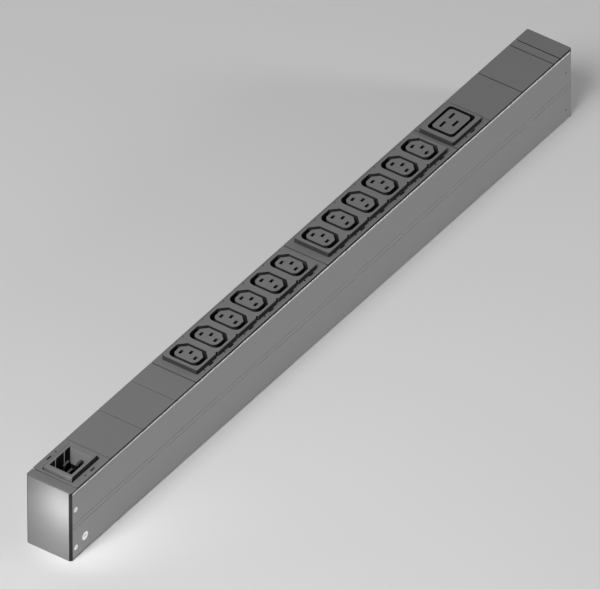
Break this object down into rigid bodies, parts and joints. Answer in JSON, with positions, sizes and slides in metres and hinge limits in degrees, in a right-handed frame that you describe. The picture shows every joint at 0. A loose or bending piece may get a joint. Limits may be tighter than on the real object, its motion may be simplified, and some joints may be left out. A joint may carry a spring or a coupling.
{
  "type": "rack power distribution unit",
  "caption": "Long grey metal trough with snap-in covers: a flat-pin inlet, rows of small outlets, a large outlet and blank plates between end caps.",
  "frame": {"origin": "middle of the mounting side, halfway along the unit", "axes": "+X along the unit from the inlet end to the far end, +Z out of the outlet side"},
  "size_m": [0.695, 0.044, 0.0743],
  "materials": {
    "housing_aluminium": "matt anodised extrusion",
    "cap_finish": "satin grey powder coat",
    "cover_plastic": "fine-grained moulded grey plastic",
    "socket_plastic": "smooth moulded grey plastic",
    "screw_steel": "bright zinc-plated steel",
    "dark_screw_steel": "blackened steel",
    "terminal_tin": "tinned copper",
    "blade_metal": "nickel-plated brass",
    "contact_brass": "bare brass strip",
    "carrier_plastic": "natural moulded plastic",
    "line_insulation": "brown insulation",
    "neutral_insulation": "blue insulation",
    "earth_insulation": "green and yellow insulation"
  },
  "bodies": {
    "root": {"blank_1_cover": "cover_plastic", "blank_2_cover": "cover_plastic", "blank_3_cover": "cover_plastic", "blank_4_cover": "cover_plastic", "block_1_earth_strip": "contact_brass", "block_1_line_strip": "contact_brass", "block_1_neutral_strip": "contact_brass", "block_2_earth_strip": "contact_brass", "block_2_line_strip": "contact_brass", "block_2_neutral_strip": "contact_brass", "earth_lead": "earth_insulation", "earth_nut": "screw_steel", "earth_ring_terminal": "terminal_tin", "earth_screw": "screw_steel", "earth_wires": "earth_insulation", "far_cap_screws": "dark_screw_steel", "far_end_cap": "cap_finish", "filler_cover": "cover_plastic", "housing": "housing_aluminium", "inlet_cap_screws": "screw_steel", "inlet_cover": "cover_plastic", "inlet_earth_pin": "blade_metal", "inlet_end_cap": "cap_finish", "inlet_line_pin": "blade_metal", "inlet_neutral_pin": "blade_metal", "inlet_socket": "socket_plastic", "large_outlet_carrier": "carrier_plastic", "large_outlet_cover": "cover_plastic", "large_outlet_earth_contact": "contact_brass", "large_outlet_line_contact": "contact_brass", "large_outlet_neutral_contact": "contact_brass", "line_wires": "line_insulation", "narrow_blank_cover": "cover_plastic", "neutral_wires": "neutral_insulation", "outlet_block_1_carrier": "carrier_plastic", "outlet_block_1_cover": "cover_plastic", "outlet_block_2_carrier": "carrier_plastic", "outlet_block_2_cover": "cover_plastic"}
  },
  "joints": []
}
